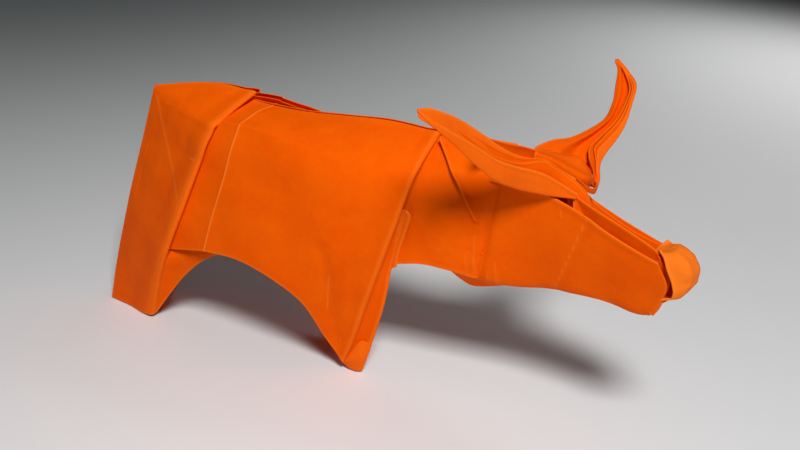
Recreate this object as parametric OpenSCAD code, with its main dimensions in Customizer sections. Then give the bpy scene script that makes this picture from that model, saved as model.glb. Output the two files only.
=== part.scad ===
// Water buffalo folded from one square of orange paper.
// The whole animal is one sheet. Every panel below is a few plies of it pressed
// together, and panels meet along folds, so the part is one connected solid.
// +X runs from tail to muzzle, +Y is the animal's left, +Z is up, z = 0 is the table.

/* [Trunk] */
// Length of the trunk, rear foot corner to front corner of the back, in mm
trunk_len = 55.4; // [48:0.2:64]
// Height of the back above the table, in mm
back_h = 43.4; // [38:0.2:52]
// Width over both flanks at the widest, in mm
trunk_w = 20; // [17:0.2:25]
// How far the left feet stand behind the right ones, in mm
far_leg_back = 1.8; // [0:0.1:2.4]
// Radius of the thick rounded fold at the front of the rump, in mm
rump_fold_r = 0.45; // [0.3:0.05:0.7]

/* [Neck and head] */
// Length of the neck, front corner of the back to the crimp behind the head, in mm
neck_len = 11.8; // [9:0.2:15]
// Length of the head, crimp to muzzle, in mm
head_len = 32.2; // [27:0.2:38]
// Width of the head between the top edges of its two outer panels, in mm
head_w = 10; // [8:0.2:13]
// Height of the head panel at the crimp, jaw to top edge, in mm
head_h = 18; // [15:0.2:21]
// How far the head is turned to the animal's right, in degrees
head_turn = 12; // [0:1:20]

/* [Horns] */
// Spread of the two horns, tip to tip, in mm
horn_span = 51.6; // [40:0.2:62]
// Rise of the higher horn tip above the top of the head, in mm
horn_rise = 17.6; // [13:0.2:23]

/* [Paper] */
// Thickness of the paper, in mm
paper_t = 0.1; // [0.08:0.01:0.14]
// Plies pressed together in a panel
plies = 3; // [3:1:4]

/* [Part] */
// Sub-part to draw

/* [Hidden] */
panel_t = plies*paper_t;
head_reach = head_len*cos(head_turn);
x_rear = -(trunk_len + neck_len + head_reach)/2;
x_front = x_rear + trunk_len;
x_crimp = x_front + neck_len;
poll_h = 0.91*back_h;
jaw_h = poll_h - head_h;
SIDES = [-1, 1];

// Frames of reference.
// s is the side: -1 the animal's right, 1 its left.
// Trunk: shares of trunk length, half width and back height.
// k is the share of the left fore leg's setback that the point takes.
function T(p, s, k = 0) = [x_rear + trunk_len*p[0] - (s > 0 ? far_leg_back*k : 0),
                           s*trunk_w/2*p[1], back_h*p[2]];
// Neck: shares of neck length, half trunk width and back height.
function N(p, s) = [x_front + neck_len*p[0], s*trunk_w/2*p[1], back_h*p[2]];
// Turned head: length along it, offset to the left, height.
function turned(l, v, z) = [x_crimp + l*cos(head_turn) + v*sin(head_turn),
                            v*cos(head_turn) - l*sin(head_turn), z];
// Head: shares of head length, half head width and head height above the jaw.
function H(p, s) = turned(head_len*p[0], s*head_w/2*p[1], jaw_h + head_h*p[2]);
// Horns: shares of head length, half horn span and horn rise above the head.
function K(p, s) = turned(head_len*p[0], s*horn_span/2*p[1], poll_h + horn_rise*p[2]);

// Curves and panels.
function mix(a, b, t) = a + (b - a)*t;
function unit(a) = a/max(norm(a), 1e-9);
function cr(a, b, c, d, t) =
    (2*b + (c - a)*t + (2*a - 5*b + 4*c - d)*t*t + (3*b - a - 3*c + d)*t*t*t)/2;
function along(p, u) = let (n = len(p) - 1, i = min(n - 1, floor(u)), t = u - i)
    cr(i > 0 ? p[i - 1] : 2*p[0] - p[1], p[i], p[i + 1],
       i + 2 <= n ? p[i + 2] : 2*p[n] - p[n - 1], t);
function rail(p, n) = [for (k = [0:n]) along(p, k*(len(p) - 1)/n)];
// A point of the smooth surface through a net of columns, u by column, v by row.
function on(net, u, v) = along([for (c = net) along(c, v)], u);
// That surface as a grid of nu by nv cells.
function grid(net, nu, nv) = [for (i = [0:nu]) [for (j = [0:nv])
    on(net, i*(len(net) - 1)/nu, j*(len(net[0]) - 1)/nv)]];
// The surface at chosen stations, so that a grid line can run along a crease.
function patch(net, us, vs) = [for (u = us) [for (v = vs) on(net, u, v)]];
// Unit normal of a grid at one of its points, the mean over the cells that meet there,
// so that it stays on one side of the sheet where a fold doubles back.
function face_normal(g, i, j) = let (m = len(g) - 1, n = len(g[0]) - 1, c = g[i][j],
    a = [c - g[max(0, i - 1)][j], g[min(m, i + 1)][j] - c],
    b = [c - g[i][max(0, j - 1)], g[i][min(n, j + 1)] - c])
    unit(unit(cross(a[0], b[0])) + unit(cross(a[0], b[1])) + unit(cross(a[1], b[0]))
         + unit(cross(a[1], b[1])));
// Boundary of a grid, once round.
function ring(m, n) = concat([for (i = [0:m - 1]) [i, 0]], [for (j = [0:n - 1]) [m, j]],
                             [for (i = [m:-1:1]) [i, n]], [for (j = [n:-1:1]) [0, j]]);

// A panel of paper: the grid thickened to t, with half-round edges.
module panel(g, t = panel_t) {
    m = len(g) - 1;
    n = len(g[0]) - 1;
    r = ring(m, n);
    q = (m + 1)*(n + 1);
    function id(i, j) = i*(n + 1) + j;
    up = [for (i = [0:m]) for (j = [0:n]) g[i][j] + face_normal(g, i, j)*t/2];
    down = [for (i = [0:m]) for (j = [0:n]) g[i][j] - face_normal(g, i, j)*t/2];
    edge = [for (a = r) let (i = a[0], j = a[1],
            ox = i == 0 ? unit(g[0][j] - g[1][j]) : i == m ? unit(g[m][j] - g[m - 1][j]) : [0, 0, 0],
            oy = j == 0 ? unit(g[i][0] - g[i][1]) : j == n ? unit(g[i][n] - g[i][n - 1]) : [0, 0, 0])
            g[i][j] + unit(ox + oy)*t/2];
    w = len(r);
    polyhedron(concat(up, down, edge), concat(
        [for (i = [0:m - 1]) for (j = [0:n - 1]) each [
            [id(i, j), id(i, j + 1), id(i + 1, j + 1)],
            [id(i, j), id(i + 1, j + 1), id(i + 1, j)],
            [q + id(i, j), q + id(i + 1, j + 1), q + id(i, j + 1)],
            [q + id(i, j), q + id(i + 1, j), q + id(i + 1, j + 1)]]],
        [for (k = [0:w - 1]) let (h = (k + 1) % w, a = id(r[k][0], r[k][1]), b = id(r[h][0], r[h][1]),
            ea = 2*q + k, eb = 2*q + h) each [
            [a, b, eb], [a, eb, ea], [ea, eb, q + b], [ea, q + b, q + a]]]), convexity = 8);
}

// A rounded fold: a bead of six sides that follows a rail.
module fold(p, r, n = 6) {
    m = len(p) - 1;
    body = [for (k = [0:m]) let (t = unit(p[min(m, k + 1)] - p[max(0, k - 1)]),
            a = unit(cross(t, [1, 0.13, 0.07])), b = cross(t, a))
            for (i = [0:n - 1]) p[k] + r*(a*cos(360*i/n) + b*sin(360*i/n))];
    ends = [p[0] + unit(p[0] - p[1])*r*0.6, p[m] + unit(p[m] - p[m - 1])*r*0.6];
    e = n*(m + 1);
    polyhedron(concat(body, ends), concat(
        [for (k = [0:m - 1]) for (i = [0:n - 1]) let (j = (i + 1) % n) each [
            [k*n + i, (k + 1)*n + j, k*n + j], [k*n + i, (k + 1)*n + i, (k + 1)*n + j]]],
        [for (i = [0:n - 1]) let (j = (i + 1) % n) [e, i, j]],
        [for (i = [0:n - 1]) let (j = (i + 1) % n) [e + 1, m*n + j, m*n + i]]), convexity = 8);
}
// A pinched tip or toe: balls run together.
module pinch(p, r) {
    hull() for (a = p) translate(a) sphere(r, $fn = 8);
}

// Rows of each column run from the back down to the hem.
function flank_net(s) = let (r = rump_front(s), b = rump_rear(s)) [
    // hidden reverse fold under the rump
    [for (j = [0:5]) let (a = mix(r[min(j, 4)], b[min(j, 4)], 0.16), c = mix(r[4], r[5], j == 5 ? 0.1 : 0))
        (j < 5 ? a : mix(c, b[4], 0.16)) + [0, -s*0.06*trunk_w/2, j == 0 ? -0.02*back_h : -0.01*back_h]],
    [T([0.489, 0.06, 0.963], s), T([0.446, 0.80, 0.919], s), T([0.417, 0.88, 0.697], s),
     T([0.392, 0.90, 0.550], s), T([0.378, 0.90, 0.440], s), T([0.372, 0.90, 0.393], s)],
    [T([0.597, 0.06, 0.967], s), T([0.592, 0.88, 0.903], s), T([0.561, 0.96, 0.706], s),
     T([0.532, 0.99, 0.547], s), T([0.508, 0.99, 0.440], s), T([0.496, 0.98, 0.399], s)],
    [T([0.715, 0.06, 0.983], s), T([0.715, 0.90, 0.879], s), T([0.690, 1.00, 0.689], s),
     T([0.653, 1.00, 0.511], s), T([0.628, 1.00, 0.410], s), T([0.614, 0.99, 0.354], s)],
    [T([0.836, 0.06, 1.000], s), T([0.818, 0.86, 0.864], s), T([0.791, 1.00, 0.662], s),
     T([0.753, 0.99, 0.459], s), T([0.722, 0.94, 0.335], s), T([0.704, 0.90, 0.278], s)],
    [T([0.926, 0.06, 1.000], s), T([0.908, 0.78, 0.859], s), T([0.872, 0.95, 0.640], s, 0.2),
     T([0.830, 0.86, 0.390], s, 0.6), T([0.793, 0.75, 0.215], s, 0.9), T([0.774, 0.68, 0.135], s, 1)],
    [T([1.000, 0.06, 0.994], s), T([0.968, 0.65, 0.853], s), T([0.942, 0.85, 0.658], s, 0.2),
     T([0.898, 0.76, 0.385], s, 0.6), T([0.862, 0.63, 0.150], s, 0.9), T([0.838, 0.57, 0.035], s, 1)]];

// Rump layer: it lies over the flank and wraps the hind leg.
function rump_rear(s) = [T([0.096, 0.01, 0.940], s), T([0.092, 0.05, 0.900], s), T([0.072, 0.10, 0.727], s),
    T([0.047, 0.17, 0.520], s), T([0.027, 0.22, 0.323], s), T([0.013, 0.26, 0.162], s),
    T([0.003, 0.28, 0.006], s)];
function rump_front(s) = [T([0.426, 0.08, 1.000], s), T([0.363, 0.80, 0.885], s), T([0.329, 0.84, 0.739], s),
    T([0.287, 0.87, 0.543], s, 0.3), T([0.244, 0.85, 0.360], s, 0.6), T([0.208, 0.70, 0.196], s, 0.8),
    T([0.180, 0.52, 0.014], s, 1)];
function rump_net(s) = let (a = rump_rear(s), b = rump_front(s), o = [0, s*0.03*trunk_w/2, 0]) [
    a,
    concat([T([0.209, 0.01, 0.979], s)], [for (j = [1:5]) mix(a[j], b[j], 0.34) + o],
           [T([0.062, 0.36, 0.006], s, 0.3)]),
    concat([T([0.323, 0.03, 1.004], s)], [for (j = [1:5]) mix(a[j], b[j], 0.68) + o],
           [T([0.122, 0.45, 0.006], s, 0.7)]),
    b];

module trunk_side(s) {
    // flank: its first column is the pleat that joins it to the rump's fold
    b = rump_front(s);
    vs = [0, 0.6, 1, 1.5, 2.2, 3.1, 4.1, 5];
    pleat = [for (v = vs) along(b, v < 4 ? v : 4 + 0.1*(v - 4))];
    panel(concat([pleat], patch(flank_net(s), [0, 0.7, 1.3, 2, 2.7, 3.4, 4.1, 4.8, 5.4, 6], vs)));
    panel(patch(rump_net(s), [0, 0.8, 1.6, 2.3, 3], [0, 0.6, 1, 1.6, 2.6, 3.8, 5, 6]));
    fold([for (v = [0, 0.4, 0.75, 1, 1.3, 2, 3, 4, 5, 6]) along(b, v)], rump_fold_r);
}

// Inner ply of the hind leg, with the arched edge in front.
module hind_leg(s) {
    b = rump_front(s);
    h = flank_net(s)[0];
    i = [0, -s*0.5, 0];
    n = [mix(h[3], h[4], 0.6) + i, mix(h[4], b[4], 0.25) + 1.4*i, mix(b[4], b[5], 0.35) + 0.9*i,
         mix(b[4], b[5], 0.75) + 0.4*i, mix(b[5], b[6], 0.45) + 0.2*i, b[6]];
    f = [T([0.425, 0.74, 0.46], s, 0.5), T([0.415, 0.76, 0.392], s, 0.6), T([0.343, 0.66, 0.314], s, 0.7),
         T([0.282, 0.57, 0.222], s, 0.9), T([0.235, 0.52, 0.125], s, 1), T([0.188, 0.50, 0.018], s, 1)];
    c = [for (j = [0:5]) mix(n[j], f[j], 0.5) + [0, -s*0.3*sin(30*(5 - j)), 0]];
    panel(grid([n, c, f], 3, 5));
}

// Inner ply of the fore leg: it makes a forward groove with the flank and ends in a toe lobe.
module fore_leg(s) {
    flank = flank_net(s);
    v = [2.3, 2.6, 2.9, 3.5, 4.05, 4.45, 5.0];
    f = [T([0.950, 0.60, 0.620], s, 0.2), T([0.946, 0.58, 0.550], s, 0.3), T([0.940, 0.56, 0.478], s, 0.4),
         T([0.935, 0.52, 0.338], s, 0.6), T([0.924, 0.50, 0.223], s, 0.8), T([0.913, 0.49, 0.138], s, 0.9),
         T([0.893, 0.50, 0.008], s, 1)];
    toe = T([0.845, 0.53, 0.022], s, 1);
    rear = [for (k = [0:6]) k < 6 ? on(flank, 5.5, v[k]) + [0, -s*0.12, 0] : toe];
    panel([for (w = [0, 0.5, 1]) [for (k = [0:6])
        mix(rear[k], f[k], w) + [0, -s*0.5*sin(180*w)*(k < 6 ? 1 : 0), 0]]]);
    pinch([toe, mix(toe, f[6], 0.5) + [0, 0, -0.004*back_h]], panel_t*0.5);
    // small flap beside the front edge, with a rounded top corner
    o = [0, s*panel_t*0.8, 0];
    q = [T([0.944, 0.66, 0.722], s, 0.1), T([0.944, 0.65, 0.690], s, 0.2), T([0.940, 0.63, 0.610], s, 0.2),
         T([0.934, 0.60, 0.540], s, 0.3), T([0.936, 0.57, 0.476], s, 0.4)];
    r = [T([0.964, 0.64, 0.722], s, 0.1), T([0.975, 0.62, 0.700], s, 0.2), T([0.967, 0.60, 0.625], s, 0.2),
         T([0.961, 0.58, 0.550], s, 0.3), T([0.969, 0.56, 0.496], s, 0.4)];
    panel([for (w = [-0.6, 0.2, 1]) [for (k = [0:4]) mix(q[k], r[k], w) + o*(w < 0 ? -0.4 : w)]],
          panel_t*0.8);
}

// Inner plies that close the slit along the back from below.
module back_gusset() {
    a = flank_net(-1);
    b = flank_net(1);
    u = [0.4, 1.2, 2.6, 4.2, 6];
    panel([for (k = u) let (p = on(a, k, 0.28), q = on(b, k, 0.28)) [
        p + [0, 0.1, -0.2], mix(p, q, 0.5) + [0, 0, -0.9], q + [0, -0.1, -0.2]]]);
}

// A ply of the left side that stands up behind the rump, along the back.
module ridge_ply() {
    x = [0.400, 0.490, 0.508, 0.548, 0.592, 0.650];
    z = [0.988, 0.994, 0.989, 0.982, 0.977, 0.965];
    panel([for (k = [0:5]) [T([x[k], 0.30, 0.945], 1), T([x[k], 0.13, z[k]], 1)]], panel_t*0.8);
}

// Tail gusset: the tucked ply that closes the rear between the rump panels.
module tail_gusset() {
    a = rump_net(-1);
    b = rump_net(1);
    v = [0.05, 2, 4, 5.8];
    panel([for (k = v) let (p = on(a, 0.35, k), q = on(b, 0.35, k)) [
        p, mix(p, q, 0.5) + [0.02*trunk_len, 0, 0], q]]);
}

// Flat soles where the toes are pressed on the table.
module soles() {
    for (s = SIDES) {
        h = [T([0.040, 0.30, 0], s, 0.2), T([0.105, 0.40, 0], s, 0.6), T([0.165, 0.47, 0], s, 0.9)];
        f = [T([0.866, 0.50, 0], s, 1), T([0.886, 0.49, 0], s, 1)];
        for (k = [0:1]) hull() for (a = [h[k], h[k + 1]])
            translate(a) cylinder(0.4, 0.27, 0.15, $fn = 10);
        hull() for (a = f) translate(a) cylinder(0.4, 0.27, 0.15, $fn = 10);
    }
}

// Rows run from the ridge down to the lower edge.
function neck_net(s) = [
    [N([-0.44, 0.04, 0.977], s), N([-0.44, 0.22, 0.912], s), N([-0.44, 0.42, 0.808], s),
     N([-0.44, 0.54, 0.647], s), N([-0.44, 0.56, 0.480], s)],
    [N([0.07, 0.05, 0.993], s), N([0.07, 0.24, 0.935], s), N([0.07, 0.42, 0.831], s),
     N([0.07, 0.55, 0.681], s), N([0.06, 0.58, 0.522], s)],
    [N([0.46, 0.04, 1.005], s), N([0.47, 0.26, 0.947], s), N([0.49, 0.46, 0.843], s),
     N([0.49, 0.58, 0.693], s), N([0.46, 0.54, 0.523], s)],
    [H([0, 0.04, 1.239], s), H([0.006, 0.50, 1.13], s), H([0.006, 0.90, 0.97], s),
     H([0.006, 0.97, 0.57], s), H([0.012, 0.84, 0.01], s)]];

module neck_side(s) {
    net = neck_net(s);
    panel(grid(net, 4, 6));
    // over-ply on the front of the neck, its free edge slants down and forward
    o = [0, s*panel_t*0.45, panel_t*0.2];
    l = [N([0.02, 0.17, 0.990], s), N([0.18, 0.33, 0.938], s), N([0.31, 0.44, 0.873], s),
         N([0.51, 0.55, 0.812], s), N([0.69, 0.60, 0.747], s), on(net, 2.72, 3.0) - o*0.3];
    r = [for (k = [0:5]) on(net, 2.97, [0.3, 1, 1.6, 2.2, 2.6, 3.1][k])];
    m = [for (k = [0:5]) on(net, [1.7, 1.9, 2.1, 2.3, 2.5, 2.84][k], [0.35, 1, 1.6, 2.15, 2.55, 3.05][k])];
    panel(grid([l, [for (k = [0:5]) m[k] + o*(k < 5 ? 1 : -0.3)],
                [for (k = [0:5]) r[k] + o*(k < 5 ? 0.6 : -0.3)]], 3, 5), panel_t*1.3);
    // valley fold where the head comes out from under the neck
    fold(rail([for (j = [1:4]) net[3][j]], 4), panel_t*0.75);
}

// Inner ply that hangs below the neck as the throat.
module throat() {
    a = neck_net(-1);
    b = neck_net(1);
    c = [N([0.10, 0, 0.530], 1), N([0.40, 0, 0.483], 1), N([0.66, 0, 0.445], 1),
         N([0.86, 0, 0.432], 1), H([0.06, 0, -0.09], 1), H([0.20, 0, 0.03], 1)];
    u = [1.05, 1.7, 2.2, 2.55, 2.95];
    panel([for (k = [0:5])
        let (p = k < 5 ? on(a, u[k], 3.55) : H([0.18, 0.48, 0.1], -1),
             q = k < 5 ? on(b, u[k], 3.55) : H([0.18, 0.48, 0.1], 1))
        [p + [0, 0.2, 0], mix(p, c[k], 0.8) + [0, 0, -0.2], c[k], mix(q, c[k], 0.8) + [0, 0, -0.2],
         q - [0, 0.2, 0]]]);
}

// The left cheek is a little lower along the nose.
function cheek(s) = let (r = s > 0 ? 1 : 0) [
    [H([0.010, 0.94, 0.990], s), H([0.010, 0.98, 0.700], s),
     H([0.010, 0.96, 0.310], s), H([0.012, 0.84, 0.005], s)],
    [H([0.217, 1.00, 0.978], s), H([0.205, 0.94, 0.700], s),
     H([0.196, 0.74, 0.340], s), H([0.193, 0.46, 0.044], s)],
    [H([0.398, 1.00, 0.911 - 0.045*r], s), H([0.382, 0.88, 0.644], s),
     H([0.370, 0.66, 0.367], s), H([0.360, 0.36, 0.111], s)],
    [H([0.575, 0.94, 0.789 - 0.025*r], s), H([0.578, 0.80, 0.589], s),
     H([0.584, 0.58, 0.367], s), H([0.590, 0.30, 0.144], s)],
    [H([0.733, 0.88, 0.700 - 0.01*r], s), H([0.745, 0.76, 0.533], s),
     H([0.752, 0.56, 0.339], s), H([0.752, 0.30, 0.128], s)],
    [H([0.814, 0.84, 0.661], s), H([0.876, 0.74, 0.489], s),
     H([0.866, 0.54, 0.333], s), H([0.832, 0.30, 0.150], s)]];

// Outer shell of the head: right cheek, jaw, left cheek in one bent panel.
module head_shell() {
    a = cheek(-1);
    b = cheek(1);
    panel([for (u = [0, 0.7, 1.4, 2.1, 2.8, 3.5, 4.2, 5]) [
        for (v = [0, 0.75, 1.5, 2.25, 3]) on(a, u, v),
        mix(on(a, u, 3), on(b, u, 3), 0.5) + [0, 0, -0.25],
        for (v = [3, 2.25, 1.5, 0.75, 0]) on(b, u, v)]]);
}

// Inner plies: they stand a little above the cheeks and fold down into a deep channel.
module snout_channel() {
    u = [2.0, 2.45, 3.35, 4.3, 5.0];
    l = [0.365, 0.453, 0.646, 0.780, 0.835];
    for (s = SIDES) {
        z = s < 0 ? [1.010, 0.944, 0.833, 0.745, 0.705] : [0.955, 0.845, 0.720, 0.675, 0.655];
        panel([for (k = [0:4]) let (f = on(cheek(s), u[k], 3), g = k < 4 ? 0 : 0.075) [
            H([l[k], 0.68 - 0.02*k, z[k]], s), H([l[k] + g, 0.58 - 0.02*k, z[k] - 0.17], s),
            H([l[k] + g, 0.40, z[k] - 0.34], s), [f[0], f[1], f[2] + 0.1]]]);
    }
}

// Brow: the ply that closes the channel under the forehead.
module brow() {
    panel([for (y = [-0.62, 0, 0.80]) [H([0.30, abs(y), 1.06], y < 0 ? -1 : 1),
        H([0.335, abs(y), 0.95], y < 0 ? -1 : 1), H([0.36, abs(y)*0.8, 0.74], y < 0 ? -1 : 1)]]);
}

// Muzzle: a rounded flap bent down over the end of the snout.
module muzzle() {
    e = [[0.792, 0.50, 0.690], [0.822, 0.62, 0.690], [0.860, 0.69, 0.620], [0.894, 0.70, 0.530],
         [0.914, 0.67, 0.444], [0.910, 0.60, 0.378], [0.858, 0.52, 0.328]];
    m = [[0.780, 0.30, 0.690], [0.868, 0.42, 0.745], [0.928, 0.48, 0.700], [0.962, 0.50, 0.615],
         [0.970, 0.48, 0.505], [0.938, 0.44, 0.394], [0.862, 0.36, 0.318]];
    c = [[0.776, 0, 0.670], [0.870, 0, 0.752], [0.942, 0, 0.715], [0.978, 0, 0.625],
         [0.985, 0, 0.511], [0.940, 0, 0.389], [0.862, 0, 0.310]];
    panel(grid([for (k = [[e, -1], [m, -1], [c, 1], [m, 1], [e, 1]]) [for (p = k[0]) H(p, k[1])]], 6, 8),
          panel_t*1.3);
    // plies tucked back into the snout
    for (s = SIDES) {
        fold([H([0.868, 0.50, 0.330], s), H([0.840, 0.34, 0.160], s)], panel_t*0.6);
    }
}

// Each horn is a narrow point of the sheet, opened along its length.
// Right horn: swept back, a channel open upwards. Stations run from tip to root.
rim_r = [[-0.186, 1.000, 0.705], [-0.121, 0.864, 0.585], [-0.062, 0.748, 0.494], [0.006, 0.612, 0.381],
         [0.071, 0.496, 0.278], [0.143, 0.391, 0.222], [0.242, 0.260, 0.165], [0.385, 0.147, 0.028]];
keel_r = [[-0.183, 1.000, 0.690], [-0.112, 0.884, 0.557], [-0.056, 0.748, 0.415], [0.019, 0.589, 0.227],
          [0.087, 0.461, 0.102], [0.155, 0.337, 0.028], [0.258, 0.240, -0.006], [0.380, 0.151, -0.010]];
wall_r = [[-0.180, 0.969, 0.733], [-0.137, 0.829, 0.676], [-0.093, 0.690, 0.602], [-0.028, 0.547, 0.489],
          [0.043, 0.419, 0.364], [0.112, 0.287, 0.273], [0.211, 0.167, 0.239], [0.345, 0.074, 0.125]];
// Left horn: curled up, its hollow faces forward and to the right.
rear_l = [[0.208, 0.985, 0.962], [0.252, 0.919, 0.869], [0.273, 0.849, 0.716], [0.289, 0.783, 0.591],
          [0.286, 0.686, 0.449], [0.239, 0.554, 0.347], [0.177, 0.411, 0.273], [0.121, 0.302, 0.256],
          [0.071, 0.202, 0.199]];
lip_l = [[0.226, 0.978, 0.942], [0.307, 0.922, 0.869], [0.345, 0.849, 0.733], [0.354, 0.760, 0.597],
         [0.345, 0.640, 0.455], [0.314, 0.512, 0.335], [0.292, 0.403, 0.244], [0.314, 0.329, 0.176],
         [0.357, 0.248, 0.085]];
front_l = [[0.232, 0.992, 0.935], [0.311, 0.946, 0.881], [0.366, 0.872, 0.767], [0.382, 0.787, 0.619],
           [0.394, 0.674, 0.449], [0.382, 0.562, 0.307], [0.363, 0.465, 0.205], [0.357, 0.384, 0.119],
           [0.382, 0.287, -0.011]];

module right_horn() {
    n = 8;
    u = [for (k = [0:n]) 0.3 + (len(rim_r) - 1.3)*k/n];
    O = [for (a = u) along([for (p = rim_r) K(p, -1)], a)];
    B = [for (a = u) along([for (p = keel_r) K(p, -1)], a)];
    W = [for (a = u) along([for (p = wall_r) K(p, -1)], a)];
    tip = K((rim_r[0] + wall_r[0])/2, -1);
    panel([for (k = [0:n]) let (d = 0.22*sin(180*k/n)) [
        O[k], mix(O[k], B[k], 0.5) + [0, -d, -d], B[k] + [0, 0, -d],
        mix(B[k], W[k], 0.5) + [0, d, -0.5*d], W[k]]]);
    // second ply inside the hollow, a little lower than the wall
    t = [0, -cos(head_turn)*panel_t*1.2, 0];
    panel([for (k = [2:n]) [mix(B[k], W[k], 0.2), mix(B[k], W[k], 0.76) + t]], panel_t*0.8);
    // the tip is pressed shut, the root is tucked under the forehead
    pinch([tip, O[0], W[0]], panel_t*0.75);
    fold([O[n], B[n] + [0, 0, 0.25], mix(B[n], W[n], 0.5), W[n] + [0.1, 0, -0.2]], panel_t*0.75);
}

module left_horn() {
    n = 9;
    u = [for (k = [0:n]) 0.25 + (len(rear_l) - 1.25)*k/n];
    R = [for (a = u) along([for (p = rear_l) K(p, 1)], a)];
    L = [for (a = u) along([for (p = lip_l) K(p, 1)], a)];
    F = [for (a = u) along([for (p = front_l) K(p, 1)], a)];
    tip = K((rear_l[0] + front_l[0])/2, 1);
    // one ply wrapped round: front wall, outer skin, rear edge, hollow and back to the lip
    panel([for (k = [0:n]) let (g = 0.12 + 0.35*min(1, k/3), d = 0.35 + 1.3*pow(k/n, 0.8),
        h = 1.1*pow(k/n, 0.7)*(k < n ? 1 : 0.7)) [
        mix(L[k], F[k], 0.25), mix(L[k], F[k], 0.6) + [g*0.4, -g*0.5, 0], F[k],
        mix(F[k], R[k], 0.5) + [-0.1*d, 1.2*d, -0.15*d], R[k],
        mix(R[k], L[k], 0.5) + [0, 0.75*h, -0.65*h], L[k]]]);
    fold([R[n], mix(R[n], L[n], 0.5) + [0, 0.5, -0.4], L[n], F[n]], panel_t*0.9);
    pinch([tip, R[0], F[0]], panel_t*0.75);
}

// Nape: the ridge between the neck and the forehead, hidden behind the right horn.
module nape() {
    arch = [[-0.19, -0.02], [-0.11, 0.13], [0, 0.247], [0.11, 0.13], [0.19, -0.02]];
    panel([for (l = [-0.03, 0.08, 0.19]) [for (r = arch) K([l, r[0], r[1] - 0.1*max(0, l - 0.12)], 1)]]);
}

// Forehead between the roots of the horns.
module forehead() {
    f = [[[0.150, -0.225, 0.240], [0.125, -0.030, 0.238], [0.074, 0.205, 0.190]],
         [[0.205, -0.170, 0.236], [0.178, 0.000, 0.252], [0.143, 0.240, 0.165]],
         [[0.292, -0.118, 0.176], [0.264, 0.047, 0.195], [0.248, 0.253, 0.112]],
         [[0.373, -0.075, 0.075], [0.360, 0.080, 0.090], [0.352, 0.250, 0.060]],
         [[0.425, -0.060, -0.060], [0.425, 0.040, -0.060], [0.415, 0.170, -0.070]]];
    panel(grid([for (c = f) [for (p = c) K(p, 1)]], 6, 3));
}

module folded_sheet() {
    color([0.93, 0.36, 0.03]) union() {
        for (s = SIDES) {
            trunk_side(s);
            hind_leg(s);
            fore_leg(s);
            neck_side(s);
        }
        back_gusset();
        ridge_ply();
        tail_gusset();
        soles();
        throat();
        head_shell();
        snout_channel();
        brow();
        muzzle();
        right_horn();
        left_horn();
        nape();
        forehead();
    }
}

folded_sheet();
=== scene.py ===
# %% [markdown]
# # A water buffalo folded from orange paper
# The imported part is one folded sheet, so nothing on it moves. This lesson loads it as a fixed frame and lays
# paper over it: each panel is drawn again as a thin sheet with plies, rolled folds, soft dents and creases.
# Everything is worked out in millimetres and becomes metres when a mesh is made.

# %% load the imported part
import math
import bpy
import numpy as np
from mathutils import Matrix, Vector


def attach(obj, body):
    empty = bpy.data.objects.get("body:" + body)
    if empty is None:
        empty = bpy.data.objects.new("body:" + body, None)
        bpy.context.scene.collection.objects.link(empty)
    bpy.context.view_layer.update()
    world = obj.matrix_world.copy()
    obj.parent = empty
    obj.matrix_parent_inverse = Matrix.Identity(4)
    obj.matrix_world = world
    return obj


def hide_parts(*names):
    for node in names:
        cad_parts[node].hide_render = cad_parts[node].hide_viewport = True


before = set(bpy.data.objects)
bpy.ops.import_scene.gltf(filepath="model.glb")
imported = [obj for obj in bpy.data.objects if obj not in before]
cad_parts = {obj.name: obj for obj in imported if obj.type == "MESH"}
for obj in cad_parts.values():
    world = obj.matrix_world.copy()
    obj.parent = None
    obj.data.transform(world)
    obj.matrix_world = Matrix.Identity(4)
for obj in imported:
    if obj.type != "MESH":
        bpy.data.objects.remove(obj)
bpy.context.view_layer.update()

# %% [markdown]
# The first sizes are the ones that drive the part. Most points below are shares of them, so that the sheets
# lie on the solid; the offsets that lay one ply on another are in mm. Then come the paper's thicknesses (an
# edge, one ply, two pressed together, a stiff panel, the plies of the muzzle), how far in from its edges a
# sheet stays flat, and how far in its rims are worn and coloured lighter as painted highlight.

# %% sizes of the animal, in mm
trunk_len = 55.4
back_h = 43.4
trunk_w = 20.0
far_leg_back = 1.8
far_ply_back = 1.1
rump_fold_r = 0.45
neck_len = 11.8
head_len = 32.2
head_w = 10.0
head_h = 18.0
head_turn = math.radians(12)
horn_span = 51.6
horn_rise = 17.6
panel_t = 0.3
thin_t = 0.12
ply_t = 0.14
double_t = 0.16
stiff_t = 0.2
muzzle_t = 0.34
flat_band = 2.5
rim_wear_and_highlight_band = 0.28

x_rear = -(trunk_len + neck_len + head_len*math.cos(head_turn))/2
x_front = x_rear + trunk_len
x_crimp = x_front + neck_len
poll_h = 0.91*back_h
jaw_h = poll_h - head_h
RIGHT, LEFT = -1, 1
SIDE = {RIGHT: "right", LEFT: "left"}


# %% [markdown]
# The trunk, the neck, the turned head and the horns have their own directions. Empties could carry them, but
# the plies of one often start on another, so functions turn shares of length, half width and height into
# millimetres. s is the side, -1 for the animal's right.

# %% frames of reference
def trunk(p, s, k=0.0):
    setback = far_leg_back*k if s > 0 else 0.0
    return np.array([x_rear + trunk_len*p[0] - setback, s*trunk_w/2*p[1], back_h*p[2]])


def neck(p, s):
    return np.array([x_front + neck_len*p[0], s*trunk_w/2*p[1], back_h*p[2]])


def turned(l, v, z):
    c, d = math.cos(head_turn), math.sin(head_turn)
    return np.array([x_crimp + l*c + v*d, v*c - l*d, z])


def head(p, s):
    return turned(head_len*p[0], s*head_w/2*p[1], jaw_h + head_h*p[2])


def horn(p, s):
    return turned(head_len*p[0], s*horn_span/2*p[1], poll_h + horn_rise*p[2])


def horn_line(points, s=LEFT):
    return np.array([horn(p, s) for p in points])


def mix(a, b, t):
    return a + (b - a)*t


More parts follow.
